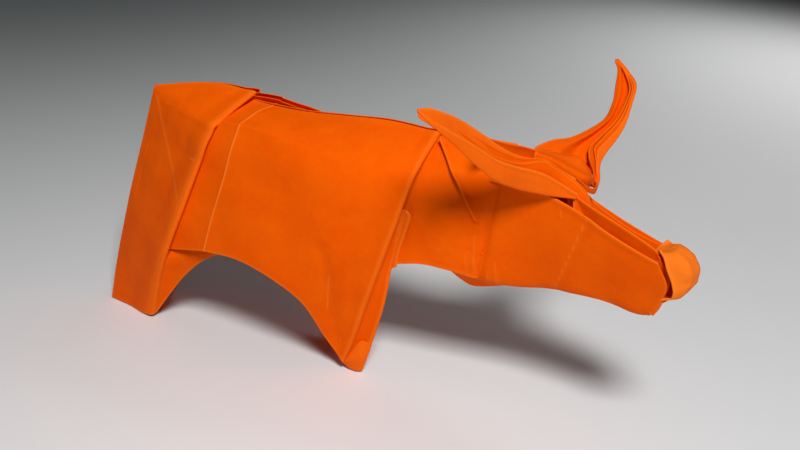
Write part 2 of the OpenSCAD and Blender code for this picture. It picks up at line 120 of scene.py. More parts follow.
# %% [markdown]
# Paper bends in smooth curves between the places where fingers pinch it. A subdivided mesh would shrink away
# from them. So a net holds the pinched points in columns, and a curve that passes through them all is run
# along the columns and then across.

# %% smooth curves and surfaces through nets of points
def along(points, u, stiff=0.0):
    """A smooth curve through points. Stiff, from 0 to 1, draws it towards straight runs with corners."""
    p = np.asarray(points, float)
    last = len(p) - 1
    e = np.concatenate([[2*p[0] - p[1]], p, [2*p[-1] - p[-2]]])
    u = np.atleast_1d(np.asarray(u, float))
    i = np.clip(np.floor(u).astype(int), 0, last - 1)
    shape = [-1] + [1]*(p.ndim - 1)
    t = (u - i).reshape(shape)
    a, b, c, d = e[i], e[i + 1], e[i + 2], e[i + 3]
    bent = (2*b + (c - a)*t + (2*a - 5*b + 4*c - d)*t**2 + (3*b - a - 3*c + d)*t**3)/2
    return mix(bent, mix(b, c, t), np.broadcast_to(stiff, u.shape).reshape(shape))


def patch(net, us, vs, stiff=0.0, corner=None, fold=None):
    """A surface through a net. The corner, (v, how crisp in each column), and the fold, (u, how crisp), are
    the places where the paper has been pressed."""
    us, vs = np.asarray(us, float), np.asarray(vs, float)
    rows = []
    for k, column in enumerate(net):
        crisp = corner[1][k]*np.exp(-((vs - corner[0])/0.5)**2) if corner else 0.0
        rows.append(along(column, vs, np.maximum(stiff, crisp)))
    crisp = fold[1]*np.exp(-((us - fold[0])/0.5)**2) if fold else 0.0
    return along(np.array(rows), us, np.maximum(stiff, crisp))


def smooth(net, nu, nv, **pressed):
    us = np.linspace(0, len(net) - 1, nu + 1)
    vs = np.linspace(0, len(net[0]) - 1, nv + 1)
    return patch(net, us, vs, **pressed)


def on(net, u, v, **pressed):
    return patch(net, [u], [v], **pressed)[0, 0]


def trace(net, pairs, n=24, **pressed):
    """A line on a net's surface through pairs of net coordinates."""
    uv = along(np.array(pairs, float), np.linspace(0, len(pairs) - 1, n))
    return np.array([on(net, u, v, **pressed) for u, v in uv])


# %% [markdown]
# Folded paper is thin, its rims are round and no face is quite flat. Solidify and Displace modifiers come
# near, but can't roll a fold back beneath itself. So a sheet maker takes a grid, adds what hands leave in
# paper (slow dents, fine ridges along creases, rolled folds) and gives it thickness.

# %% measures of a grid
def unit(a):
    return a/np.maximum(np.linalg.norm(a, axis=-1, keepdims=True), 1e-9)


def normals(g):
    return unit(np.cross(np.gradient(g, axis=0), np.gradient(g, axis=1)))


def steps(g, axis):
    """Distance walked along the grid from its first line."""
    d = np.linalg.norm(np.diff(g, axis=axis), axis=-1)
    return np.insert(np.cumsum(d, axis=axis), 0, 0.0, axis=axis)


def ease(t):
    t = np.clip(t, 0, 1)
    return t*t*(3 - 2*t)


def waves(p, length, seed, count=14):
    """Slow random waves, about 1 high, with the given length in mm."""
    rng = np.random.default_rng(seed)
    way = unit(rng.normal(size=(count, 3)))*rng.uniform(0.7, 1.4, (count, 1))
    phase = rng.uniform(0, 2*math.pi, count)
    return np.sin(p @ way.T*2*math.pi/length + phase).sum(-1)/math.sqrt(count/2)


def distance_to(line, p):
    """Distance of each point to a line of points."""
    flat = p.reshape(-1, 3)
    best = np.full(len(flat), 1e9)
    for a, b in zip(line[:-1], line[1:]):
        ab = b - a
        t = np.clip(((flat - a) @ ab)/max(ab @ ab, 1e-12), 0, 1)
        best = np.minimum(best, np.linalg.norm(flat - a - t[:, None]*ab, axis=1))
    return best.reshape(p.shape[:-1])


# %% [markdown]
# A fold that isn't pressed flat springs open into a roll. A bevelled edge would end there, so the sheet is
# carried half round a circle instead and then runs on beneath itself.

# %% a rolled fold
def fold_over(g, radius, reach, back, ramp, thick, count=12):
    """Roll the sheet round past its last line and bring it back beneath itself."""
    n = normals(g)
    e = g[-1] - g[-2]
    e = unit(e - n[-1]*(e*n[-1]).sum(-1, keepdims=True))
    r = np.broadcast_to(np.asarray(radius, float), (g.shape[1],))[:, None]
    walked = steps(g, 0)
    w = ease(1 - (walked[-1] - walked)/ramp)[..., None]
    inset = r + thick/2 - reach
    top = g + n*r*w - e*inset*w
    middle = g[-1] - e*inset
    angles = np.linspace(0, math.pi, count + 1)[1:]
    turn = [middle + r*(n[-1]*math.cos(a) + e*math.sin(a)) for a in angles]
    under = [middle - r*n[-1] - e*b for b in np.linspace(0, back, 6)[1:]]
    # crown: how much painted highlight each point gets, rising towards the fold and strongest on the outside
    # of the roll
    crown = np.concatenate([ease(1 - (walked[-1] - walked)/(2.2*r[:, 0] + 0.15))*0.8,
                            np.repeat(np.sin(angles)[:, None], g.shape[1], 1),
                            np.zeros((5, g.shape[1]))])
    return np.concatenate([top, turn, under]), crown


# %% [markdown]
# A mesh with many points is filled quickest from whole arrays. Four values are kept on every point for the
# material: how near it is to a crease, to the crown of a roll and to a rim, and how much painted highlight the
# whole sheet gets.

# %% meshes and kept values
def mesh_object(name, points, quads):
    mesh = bpy.data.meshes.new(name)
    mesh.vertices.add(len(points))
    mesh.vertices.foreach_set("co", (np.asarray(points)*0.001).astype(np.float32).ravel())
    mesh.loops.add(4*len(quads))
    mesh.loops.foreach_set("vertex_index", np.asarray(quads, np.int32).ravel())
    mesh.polygons.add(len(quads))
    mesh.polygons.foreach_set("loop_start", np.arange(0, 4*len(quads), 4, dtype=np.int32))
    mesh.polygons.foreach_set("use_smooth", np.full(len(quads), True))
    mesh.update(calc_edges=True)
    piece = bpy.data.objects.new(name, mesh)
    bpy.context.scene.collection.objects.link(piece)
    return piece


def keep_value(piece, name, values):
    layer = piece.data.attributes.new(name, "FLOAT", "POINT")
    layer.data.foreach_set("value", np.asarray(values, np.float32).ravel())


# %% the sheet maker
PLAIN = (0, 0, 0, 0)
pieces = []
told = []


def tell():
    """Print the sheets made since the last call."""
    fresh = [piece for piece in pieces if piece not in told]
    told.extend(fresh)
    print([piece.name for piece in fresh], sum(len(piece.data.polygons) for piece in fresh), "faces")


def sheet(name, g, away, thick=ply_t, wave=0.05, wave_len=9.0, creases=(), rolled=None, side="u1",
          rims=(1, 1, 1, 1), seed=1, pale=0.0):
    """A piece of paper from a grid. away is the side the maker looks at; creases are (line, width, height,
    light), where light is how much lighter a crease is coloured, as worn dye and painted highlight; rolled is
    (radius, reach, back, ramp) for a fold along one side; pale is how much painted highlight the whole sheet
    gets."""
    g = np.array(g, float)
    rims = list(rims)
    if side in ("v0", "v1"):
        g = g.swapaxes(0, 1)
        rims = rims[2:] + rims[:2]
    if side in ("u0", "v0"):
        g = g[::-1]
        rims[0], rims[1] = rims[1], rims[0]
    if (normals(g) @ np.asarray(away, float)).mean() < 0:
        g = g[:, ::-1]
        rims[2], rims[3] = rims[3], rims[2]
    n = normals(g)
    a, b = steps(g, 0), steps(g, 1)
    inside = np.minimum(np.minimum(a, a[-1] - a), np.minimum(b, b[:, -1:] - b))
    calm = 0.12 + 0.88*ease(inside/flat_band)
    lift = calm*wave*(waves(g, wave_len, seed) + 0.25*waves(g, wave_len/3.1, seed + 50))
    # how much lighter each point is coloured near a crease: cracked dye and painted highlight
    crease_wear_and_highlight = np.zeros(g.shape[:2])
    for line, width, height, light in creases:
        d = distance_to(line, g)
        lift = lift + height*np.exp(-(d/width)**2)
        crease_wear_and_highlight = np.maximum(crease_wear_and_highlight, light*np.exp(-(d/(0.7*width))**2))
    g = g + n*lift[..., None]
    crown = np.zeros(g.shape[:2])
    if rolled:
        radius, reach, back, ramp = rolled
        g, crown = fold_over(g, radius, reach, back, ramp, thick)
        crease_wear_and_highlight = np.concatenate([crease_wear_and_highlight, np.zeros((len(g) - len(crease_wear_and_highlight), g.shape[1]))])
        rims[1] = 0
    n = normals(g)
    m, k = g.shape[0] - 1, g.shape[1] - 1
    a, b = steps(g, 0), steps(g, 1)
    # near: how close each point is to a rim, where worn dye and painted highlight lighten the colour
    near = np.max([w*np.exp(-(d/rim_wear_and_highlight_band)**2) for w, d in
                   zip(rims, (a, a[-1] - a, b, b[:, -1:] - b))], axis=0)
    # the loop of rim points, once round the grid
    loop = ([(i, 0) for i in range(m)] + [(m, j) for j in range(k)]
            + [(i, k) for i in range(m, 0, -1)] + [(0, j) for j in range(k, 0, -1)])
    li = np.array([p[0] for p in loop])
    lj = np.array([p[1] for p in loop])
    ox = np.zeros_like(g)
    ox[0] += unit(g[0] - g[1])
    ox[-1] += unit(g[-1] - g[-2])
    oy = np.zeros_like(g)
    oy[:, 0] += unit(g[:, 0] - g[:, 1])
    oy[:, -1] += unit(g[:, -1] - g[:, -2])
    out = unit((ox + oy)[li, lj])
    edge, up = g[li, lj], n[li, lj]
    rim = [edge + thick/2*(up*math.cos(t) + out*math.sin(t)) for t in np.radians([30, 60, 90, 120, 150])]
    points = np.concatenate([(g + n*thick/2).reshape(-1, 3), (g - n*thick/2).reshape(-1, 3), *rim])
    index = np.arange((m + 1)*(k + 1)).reshape(m + 1, k + 1)
    cells = np.stack([index[:-1, :-1], index[1:, :-1], index[1:, 1:], index[:-1, 1:]], -1).reshape(-1, 4)
    size = (m + 1)*(k + 1)
    quads = [cells, (cells + size)[:, ::-1]]
    count = len(loop)
    around = [2*size + r*count + np.arange(count) for r in range(len(rim))]
    rows = [index[li, lj]] + around + [size + index[li, lj]]
    for upper, lower in zip(rows[:-1], rows[1:]):
        quads.append(np.stack([upper, lower, np.roll(lower, -1), np.roll(upper, -1)], -1))
    piece = mesh_object(name, points, np.concatenate(quads))
    # each value is kept for the front, the back (fainter) and the rim of the sheet
    for layer, values, behind in (("crease", crease_wear_and_highlight, 0.3), ("crown", crown, 0.3), ("rim", near, 1)):
        front = values.ravel()
        keep_value(piece, layer, np.concatenate([front, front*behind] + [values[li, lj]]*len(rim)))
    keep_value(piece, "pale", np.full(len(points), pale))
    pieces.append(piece)


# %% [markdown]
# The rump is the outer layer of the hind end. It starts at the tail, bends over a soft shoulder and ends in
# the thick sprung fold that the eye reads first. It is one net, rolled by a radius that grows towards the
# foot. A light crease runs down it at a slant.

# %% the rump layer
def rump_rear(s):
    points = [[0.096, 0.01, 0.940], [0.092, 0.05, 0.900], [0.072, 0.10, 0.727], [0.047, 0.17, 0.520],
              [0.027, 0.22, 0.323], [0.013, 0.26, 0.162], [0.003, 0.28, 0.006]]
    return [trunk(p, s) for p in points]


def rump_front(s):
    points = [[0.426, 0.08, 1.000], [0.363, 0.80, 0.885], [0.329, 0.84, 0.739], [0.287, 0.87, 0.543],
              [0.244, 0.85, 0.360], [0.208, 0.70, 0.196], [0.180, 0.52, 0.014]]
    return [trunk(p, s, k) for p, k in zip(points, [0, 0, 0, 0.3, 0.6, 0.8, 1])]


def rump_net(s):
    a, b = rump_rear(s), rump_front(s)
    outward = np.array([0, s*0.03*trunk_w/2, 0])
    return [a,
            [trunk([0.209, 0.01, 0.979], s)] + [mix(a[j], b[j], 0.34) + outward for j in range(1, 6)]
            + [trunk([0.062, 0.36, 0.006], s, 0.3)],
            [trunk([0.323, 0.03, 1.004], s)] + [mix(a[j], b[j], 0.68) + outward for j in range(1, 6)]
            + [trunk([0.122, 0.45, 0.006], s, 0.7)],
            b]


RUMP_PRESS = {"corner": (1, [0.1, 0.35, 0.7, 1])}
for s in (RIGHT, LEFT):
    net = rump_net(s)
    rows = np.linspace(0, 6, 171 if s < 0 else 91)
    columns = np.linspace(0, 3, 91 if s < 0 else 51)
    marks = [(trace(net, [(0.15, 0.92), (1.09, 1.74), (1.96, 2.36), (2.75, 2.82)]), 0.15, 0.05, 0.6),
             (trace(net, [(2.54, 1.96), (2.92, 1.98)]), 0.12, 0.03, 0.5),
             (trace(net, [(0.0, 0.3), (1.5, 0.88), (2.9, 1.0)]), 0.9, 0.10, 0.0)]
    roll_r = np.interp(rows, [0, 0.9, 2, 4, 6], [0.34, 0.40, 0.50, 0.52, 0.72])
    ramp = np.interp(rows, [0, 1, 3, 6], [2.6, 4.5, 5.5, 6.0])
    layer = patch(net, columns, rows, **RUMP_PRESS)
    if (normals(layer) @ np.array([0.0, s, 0.3])).mean() < 0:
        roll_r, ramp = roll_r[::-1], ramp[::-1]
    sheet("rump_" + SIDE[s], layer, (0, s, 0.3), creases=marks,
          rolled=(roll_r, rump_fold_r, 2.5, ramp), rims=(0.5, 0, 0.5, 0.8), seed=3 + s)
tell()


# %% [markdown]
# The flank comes out from under the rump. First there is a narrow strip that lies deeper, then a crisp thin
# crease, then one large curved panel with a soft shoulder, an arched hem and a sprung front edge. It could be
# three panels, but each seam would show, so one net is pressed crisp only where the creases are.

# %% the flanks
def flank_net(s):
    r, b = rump_front(s), rump_rear(s)
    inner = []
    for j in range(6):
        at = mix(r[j], b[j], 0.16) if j < 5 else mix(mix(r[4], r[5], 0.1), b[4], 0.16)
        inner.append(at + np.array([0, -s*0.06*trunk_w/2, (-0.02 if j == 0 else -0.01)*back_h]))
    shares = [
        [[0.489, 0.06, 0.963], [0.446, 0.80, 0.919], [0.417, 0.88, 0.697],
         [0.392, 0.90, 0.550], [0.378, 0.90, 0.440], [0.372, 0.90, 0.393]],
        [[0.597, 0.06, 0.967], [0.592, 0.88, 0.903], [0.561, 0.96, 0.706],
         [0.532, 0.99, 0.547], [0.508, 0.99, 0.440], [0.496, 0.98, 0.399]],
        [[0.715, 0.06, 0.983], [0.715, 0.90, 0.879], [0.690, 1.00, 0.689],
         [0.653, 1.00, 0.511], [0.628, 1.00, 0.410], [0.614, 0.99, 0.354]],
        [[0.836, 0.06, 1.000], [0.818, 0.86, 0.864], [0.791, 1.00, 0.662],
         [0.753, 0.99, 0.459], [0.722, 0.94, 0.335], [0.704, 0.90, 0.278]],
        [[0.926, 0.06, 1.000], [0.908, 0.78, 0.859], [0.872, 0.95, 0.640],
         [0.830, 0.86, 0.390], [0.793, 0.75, 0.215], [0.774, 0.68, 0.135]],
        [[1.000, 0.06, 0.994], [0.968, 0.65, 0.853], [0.942, 0.85, 0.658],
         [0.898, 0.76, 0.385], [0.862, 0.63, 0.150], [0.838, 0.57, 0.035]]]
    setback = [0, 0, 0.2, 0.6, 0.9, 1]
    net = [inner]
    for c, column in enumerate(shares):
        net.append([trunk(p, s, setback[j] if c > 3 else 0) for j, p in enumerate(column)])
    return net


FLANK_PRESS = {"corner": (1, [1, 1, 0.5, 0.2, 0.1, 0.1, 0.2]), "fold": (1, 0.9)}
for s in (RIGHT, LEFT):
    net = flank_net(s)
    fine = s < 0
    counts = (24, 13, 140) if fine else (10, 7, 60)
    spans = ((0, 0.9), (0.91, 1.09), (1.1, 6))
    columns = np.concatenate([np.linspace(a, b, n) for (a, b), n in zip(spans, counts)])
    rows = np.linspace(0, 5, 131 if fine else 71)
    marks = [(np.array([on(net, 1.0, v, **FLANK_PRESS) for v in np.linspace(0, 5, 60)]), 0.13, 0.10, 0.8),
             (trace(net, [(4.29, 3.05), (4.47, 3.42), (4.69, 3.83)]), 0.12, 0.03, 0.5),
             (trace(net, [(3.76, 2.70), (4.63, 3.53), (5.46, 4.42)]), 1.3, -0.28, 0.0),
             (trace(net, [(5.0, 2.6), (5.5, 3.3), (5.8, 4.0)]), 1.2, -0.16, 0.0),
             (trace(net, [(3.42, 0.10), (4.38, 0.11), (5.44, 0.05)]), 0.14, -0.06, 0.0)]
    sheet("flank_" + SIDE[s], patch(net, columns, rows, **FLANK_PRESS), (0, s, 0.3),
          thick=stiff_t, creases=marks, rolled=(0.33, 0.15, 1.6, 2.6), rims=(0, 0, 0.4, 0.9),
          wave=0.06, wave_len=11, seed=11 + s)
tell()


# %% [markdown]
# Under the hem an inner ply closes the hind leg. It faces forward and down, and its front edge is the arch
# between the legs. It is a sheet of its own, because the rump's edge has to stand clear of it.

# %% inner plies of the hind legs
for s in (RIGHT, LEFT):
    fold, strip = rump_front(s), flank_net(s)[0]
    inward = np.array([0, -s*0.5, 0])
    back_line = [mix(strip[3], strip[4], 0.6) + inward, mix(strip[4], fold[4], 0.25) + 1.4*inward,
                 mix(fold[4], fold[5], 0.35) + 0.9*inward, mix(fold[4], fold[5], 0.75) + 0.4*inward,
                 mix(fold[5], fold[6], 0.45) + 0.2*inward, fold[6]]
    arch = [trunk(p, s, k) for p, k in (
        ([0.425, 0.74, 0.46], 0.5), ([0.415, 0.76, 0.392], 0.6), ([0.343, 0.66, 0.314], 0.7),
        ([0.282, 0.57, 0.222], 0.9), ([0.235, 0.52, 0.125], 1), ([0.188, 0.50, 0.018], 1))]
    middle = [mix(back_line[j], arch[j], 0.5) + np.array([0, -s*0.3*math.sin(math.radians(30*(5 - j))), 0])
              for j in range(6)]
    ply = smooth([back_line, middle, arch], 30, 70)
    sheet("hind_ply_" + SIDE[s], ply, (0.3, s, 0), thick=stiff_t, rims=(0, 1, 0, 0.5),
          wave=0.03, seed=21 + s)
tell()

# %% [markdown]
# The fore leg is the point of the flank with an inner ply in it, which stands a little back and makes a
# groove. On the far side it stands a little further back. At the foot the ply wraps round as a small lobe.
# Beside the front edge a small flap with a round top sticks out. Real plies, unlike a painted line, keep the
# groove's shadow from every side.

# %% inner plies, toes and flaps of the fore legs
for s in (RIGHT, LEFT):
    flank = flank_net(s)
    front = [trunk(p, s, k) for p, k in (
        ([0.950, 0.60, 0.620], 0.2), ([0.946, 0.58, 0.550], 0.3), ([0.940, 0.56, 0.478], 0.4),
        ([0.935, 0.52, 0.338], 0.6), ([0.924, 0.50, 0.223], 0.8), ([0.913, 0.49, 0.138], 0.9),
        ([0.893, 0.50, 0.008], 1))]
    if s > 0:
        front = front[:2] + [p - np.array([far_ply_back, 0, 0]) for p in front[2:]]
    toe = trunk([0.845, 0.53, 0.022], s, 1)
    rear = [on(flank, 5.5, v) + np.array([0, -s*0.12, 0]) for v in (2.3, 2.6, 2.9, 3.5, 4.05, 4.45)] + [toe]
    columns = []
    for w in np.linspace(0, 1, 5):
        sag = np.array([0, -s*0.5*math.sin(math.pi*w), 0])
        columns.append([mix(rear[k], front[k], w) + (sag if k < 6 else 0) for k in range(7)])
    sheet("fore_ply_" + SIDE[s], smooth(columns, 32, 80), (0.2, s, 0), thick=double_t,
          rolled=(0.22, 0.15, 1.2, 1.6), rims=PLAIN, wave=0.03, seed=31 + s)
    # the toe lobe: the ply carried round the bottom corner of the flank
    lobe = [[[0.840, 0.54, 0.046], [0.836, 0.56, 0.036], [0.837, 0.54, 0.026]],
            [[0.859, 0.56, 0.090], [0.859, 0.59, 0.048], [0.857, 0.54, 0.010]],
            [[0.882, 0.54, 0.141], [0.888, 0.58, 0.071], [0.882, 0.54, 0.006]],
            [[0.915, 0.50, 0.130], [0.906, 0.52, 0.062], [0.896, 0.50, 0.005]]]
    lobe = [[trunk(p, s, 1) for p in column] for column in lobe]
    sheet("toe_" + SIDE[s], smooth(lobe, 30, 24, stiff=0.3), (0.1, s, 0), rims=PLAIN,
          wave=0.02, seed=41 + s, pale=0.15)
    root = [trunk(p, s, k) for p, k in (
        ([0.944, 0.66, 0.722], 0.1), ([0.944, 0.65, 0.690], 0.2), ([0.940, 0.63, 0.610], 0.2),
        ([0.934, 0.60, 0.540], 0.3), ([0.936, 0.57, 0.476], 0.4))]
    free = [trunk(p, s, k) for p, k in (
        ([0.964, 0.64, 0.722], 0.1), ([0.975, 0.62, 0.700], 0.2), ([0.967, 0.60, 0.625], 0.2),
        ([0.957, 0.58, 0.550], 0.3), ([0.955, 0.56, 0.490], 0.4))]
    outward = np.array([0, s*panel_t*0.8, 0])
    flap = [[mix(root[k], free[k], w) + outward*(-0.4 if w < 0 else w) for k in range(5)]
            for w in (-0.6, 0.2, 1)]
    sheet("flap_" + SIDE[s], smooth(flap, 30, 60), (0.2, s, 0), rolled=(0.16, 0.12, 0.8, 1.0),
          rims=(0, 0, 1, 0), wave=0.04, wave_len=3.0, seed=51 + s, pale=0.15)
tell()

# %% [markdown]
# Along the back the two flanks almost meet, and a gusset closes the slit between them from below. Joined
# flanks would be simpler, but the dark slit makes the back read as folded. Between the halves of the rump it
# stays open. Just in front of them two plies of the far side stand up with a wavy edge, and a second gusset
# closes the tail.

# %% plies along the back and at the tail
near_side, far_side = flank_net(RIGHT), flank_net(LEFT)
columns = []
for u in (0.0, 1.2, 2.6, 4.2, 6):
    a, b = on(near_side, u, 0.12), on(far_side, u, 0.12)
    columns.append([a + np.array([0, 0.1, -0.25]), mix(a, b, 0.5) + np.array([0, 0, -0.5]),
                    b + np.array([0, -0.1, -0.25])])
sheet("back_gusset", smooth(columns, 90, 16), (0, 0, 1), thick=double_t, rims=PLAIN, seed=61)

ridge_x = [0.400, 0.490, 0.508, 0.548, 0.592, 0.650]
ridge_z = [0.988, 0.994, 0.989, 0.982, 0.977, 0.965]
for name, drop, y in (("ridge_ply", 0.0, 0.13), ("ridge_ply_near", 0.011, 0.06)):
    ridge = [[trunk([x, y + 0.17, 0.945 - drop], LEFT), trunk([x, y + 0.07, z - drop - 0.012], LEFT),
              trunk([x, y, z - drop], LEFT)] for x, z in zip(ridge_x, ridge_z)]
    sheet(name, smooth(ridge, 90, 14), (0, -1, 0), wave=0.08, wave_len=4.0,
          rims=(0.3, 0.3, 0.8, 0.8), seed=62)

near_rump, far_rump = rump_net(RIGHT), rump_net(LEFT)
columns = []
for v in (0.05, 2, 4, 5.8):
    a, b = on(near_rump, 0.35, v), on(far_rump, 0.35, v)
    columns.append([a, mix(a, b, 0.5) + np.array([0.02*trunk_len, 0, 0]), b])
sheet("tail_gusset", smooth(columns, 80, 16), (-1, 0, 0), thick=double_t, rims=PLAIN, seed=63)
tell()

# %% [markdown]
# The neck comes out from under the flank, turned in towards the chest. An over-ply lies on its front half
# with one raised edge, and the head leaves it at a valley fold where the paper is crimped. Rather than small
# pleats, the crimp is raised and sunk lines on one net.

# %% the neck
def neck_net(s):
    return [
        [neck(p, s) for p in ([-0.44, -0.03, 0.977], [-0.44, 0.22, 0.912], [-0.44, 0.42, 0.808],
                              [-0.44, 0.54, 0.647], [-0.44, 0.56, 0.480])],
        [neck(p, s) for p in ([0.07, -0.03, 0.993], [0.07, 0.24, 0.935], [0.07, 0.42, 0.831],
                              [0.07, 0.55, 0.681], [0.06, 0.58, 0.522])],
        [neck(p, s) for p in ([0.46, -0.03, 1.005], [0.47, 0.26, 0.947], [0.49, 0.46, 0.843],
                              [0.49, 0.58, 0.693], [0.46, 0.54, 0.523])],
        [head(p, s) for p in ([0, -0.03, 1.239], [0.006, 0.50, 1.13], [0.006, 0.90, 0.97],
                              [0.006, 0.97, 0.57], [0.012, 0.84, 0.01])]]


for s in (RIGHT, LEFT):
    net = neck_net(s)
    marks = [(trace(net, [(2.97, 0.8), (2.97, 2.5), (2.97, 4.0)], 20), 0.75, -0.42, 0.0),
             (trace(net, [(2.70, 3.75), (2.93, 3.95)], 8), 0.25, 0.14, 0.3),
             (trace(net, [(2.50, 3.5), (2.80, 3.65)], 8), 0.25, -0.12, 0.0),
             (trace(net, [(2.62, 3.2), (2.78, 4.0)], 10), 0.2, 0.10, 0.3),
             (trace(net, [(2.45, 3.6), (2.62, 4.0)], 10), 0.2, 0.08, 0.2),
             (trace(net, [(2.83, 3.3), (2.88, 4.0)], 10), 0.16, 0.10, 0.2),
             (trace(net, [(0.6, 1.2), (0.75, 3.9)], 16), 0.9, 0.10, 0.0)]
    net[3] = [p + np.array([0.55, -s*0.3, 0]) for p in net[3]]
    sheet("neck_" + SIDE[s], smooth(net, 90, 90), (0, s, 0.2), thick=double_t, creases=marks,
          rims=(0, 0, 1, 1), wave_len=7, seed=71 + s)
    outward = np.array([0, s*panel_t*0.45, panel_t*0.2])
    free = [neck(p, s) for p in ([0.03, 0.19, 0.985], [0.18, 0.34, 0.937], [0.32, 0.46, 0.887],
                                 [0.47, 0.55, 0.844], [0.61, 0.59, 0.791], [0.74, 0.60, 0.735])]
    free[5] = free[5] + np.array([0, -s*0.45, 0])
    front = [on(net, 2.97, v) for v in (0.3, 1, 1.6, 2.2, 2.6, 3.1)]
    mid = [on(net, u, v) for u, v in (
        (1.7, 0.35), (1.9, 1), (2.1, 1.6), (2.3, 2.15), (2.5, 2.55), (2.84, 3.05))]
    over = [free, [mid[k] + outward*(1 if k < 5 else -3) for k in range(6)],
            [front[k] + outward*(0.2 if k < 5 else -3) for k in range(6)]]
    sheet("over_ply_" + SIDE[s], smooth(over, 44, 70), (0, s, 0.2), side="u0",
          rolled=(0.07, 0.16, 1.0, 1.0), rims=PLAIN, wave=0.04, wave_len=6, seed=81 + s)
tell()

# %% [markdown]
# A ply hangs below the neck as the throat. It goes from side to side, so it is one net with its lowest line
# in the middle, not two halves.

# %% the throat
near_neck, far_neck = neck_net(RIGHT), neck_net(LEFT)
lowest = [neck([0.10, 0, 0.530], LEFT), neck([0.40, 0, 0.483], LEFT), neck([0.66, 0, 0.445], LEFT),
          neck([0.86, 0, 0.432], LEFT), head([0.06, 0, -0.09], LEFT), head([0.20, 0, 0.03], LEFT)]
columns = []
for k, u in enumerate((1.05, 1.7, 2.2, 2.55, 2.95, None)):
    a = head([0.18, 0.48, 0.1], RIGHT) if u is None else on(near_neck, u, 3.55)
    b = head([0.18, 0.48, 0.1], LEFT) if u is None else on(far_neck, u, 3.55)
    drop = np.array([0, 0, -0.2])
    columns.append([a + np.array([0, 0.2, 0]), mix(a, lowest[k], 0.8) + drop, lowest[k],
                    mix(b, lowest[k], 0.8) + drop, b - np.array([0, 0.2, 0])])
sheet("throat", smooth(columns, 45, 45), (0, 0, -1), thick=double_t, rims=PLAIN, seed=91)
tell()


# %% [markdown]
# The head is one bent panel: right cheek, jaw, left cheek. It is drawn as two halves that close at the jaw,
# because the left one stands lower along the snout. Half way along, each cheek has a crease where its plane
# changes.

# %% cheeks and jaw
def cheek(s):
    far = 1 if s > 0 else 0
    shares = [
        [[-0.006, 0.94, 0.990], [-0.006, 0.98, 0.700], [-0.006, 0.96, 0.310], [-0.004, 0.84, 0.005]],
        [[0.217, 1.00, 0.978], [0.205, 0.94, 0.700], [0.196, 0.74, 0.340], [0.193, 0.46, 0.044]],
        [[0.398, 1.00, 0.911 - 0.045*far], [0.382, 0.88, 0.644], [0.370, 0.66, 0.367], [0.360, 0.36, 0.111]],
        [[0.575, 0.94, 0.789 - 0.025*far], [0.578, 0.80, 0.589], [0.584, 0.58, 0.367], [0.590, 0.30, 0.144]],
        [[0.733, 0.88, 0.700 - 0.01*far], [0.745, 0.76, 0.533], [0.752, 0.56, 0.339], [0.752, 0.30, 0.128]],
        [[0.814, 0.84, 0.661], [0.876, 0.74, 0.489], [0.866, 0.54, 0.333], [0.832, 0.30, 0.150]]]
    # the last row is the jaw, carried just past the middle so that the two sides close
    jaws = [[[column[3][0], -0.06, column[3][2] - 0.02]] for column in shares]
    return [[head(p, s) for p in column + jaw] for column, jaw in zip(shares, jaws)]


for s in (RIGHT, LEFT):
    net = cheek(s)
    marks = [(trace(net, [(2.35, 0.0), (2.20, 1.52), (2.01, 3.0)]), 0.10, 0.04, 0.4),
             (trace(net, [(2.42, 0.0), (2.28, 1.52), (2.09, 3.0)]), 0.8, -0.12, 0.0),
             (trace(net, [(1.58, 0.10), (1.75, 0.45)], 8), 0.10, 0.03, 0.4),
             (trace(net, [(0.02, 0.0), (0.02, 3.2)], 16), 0.75, -0.42, 0.0),
             (trace(net, [(0.35, 2.3), (0.46, 3.0)], 10), 0.2, 0.08, 0.2),
             (trace(net, [(0.2, 2.5), (0.26, 3.0)], 10), 0.15, 0.06, 0.2)]
    skin = smooth(net, 130, 90) if s < 0 else smooth(net, 80, 50)
    sheet("cheek_" + SIDE[s], skin, (0, s, 0), thick=double_t, creases=marks, side="v0",
          rolled=(0.10, 0.15, 1.2, 1.2), rims=(0, 0.5, 0, 0),
          wave=0.04, wave_len=9, seed=101 + s)
tell()

# %% [markdown]
# Inner plies stand up a little above the cheeks and fold down into a deep channel, and a brow closes its back
# end. A channel cut into a solid snout would have no double lips, so it is made of sheets.

# %% the channel along the snout
snout_u = [2.0, 2.45, 3.35, 4.3, 5.0]
snout_l = [0.365, 0.453, 0.646, 0.780, 0.835]
for s in (RIGHT, LEFT):
    top = [1.010, 0.944, 0.833, 0.745, 0.705] if s < 0 else [0.955, 0.845, 0.720, 0.675, 0.655]
    columns = []
    for k in range(5):
        f = on(cheek(s), snout_u[k], 3) + np.array([0, 0, 0.1])
        g = 0 if k < 4 else 0.075
        l, z = snout_l[k] - (0.035 if k == 4 and s < 0 else 0), top[k]
        columns.append([head([l, 0.68 - 0.02*k, z], s), head([l + g, 0.58 - 0.02*k, z - 0.17], s),
                        head([l + g, 0.40, z - 0.34], s), f])
    sheet("snout_ply_" + SIDE[s], smooth(columns, 70, 36), (0, s, 0.3),
          side="v0", rolled=(0.08, 0.15, 0.8, 0.8), rims=PLAIN, wave=0.04, wave_len=6, seed=121 + s)

brow = [[head([l, y*narrow, z], s) for l, narrow, z in ((0.30, 1, 1.06), (0.335, 1, 0.95), (0.36, 0.8, 0.74))]
        for y, s in ((0.62, RIGHT), (0, LEFT), (0.80, LEFT))]
sheet("brow", smooth(brow, 30, 20), (1, 0, 0), thick=double_t, rims=PLAIN, seed=131)
tell()
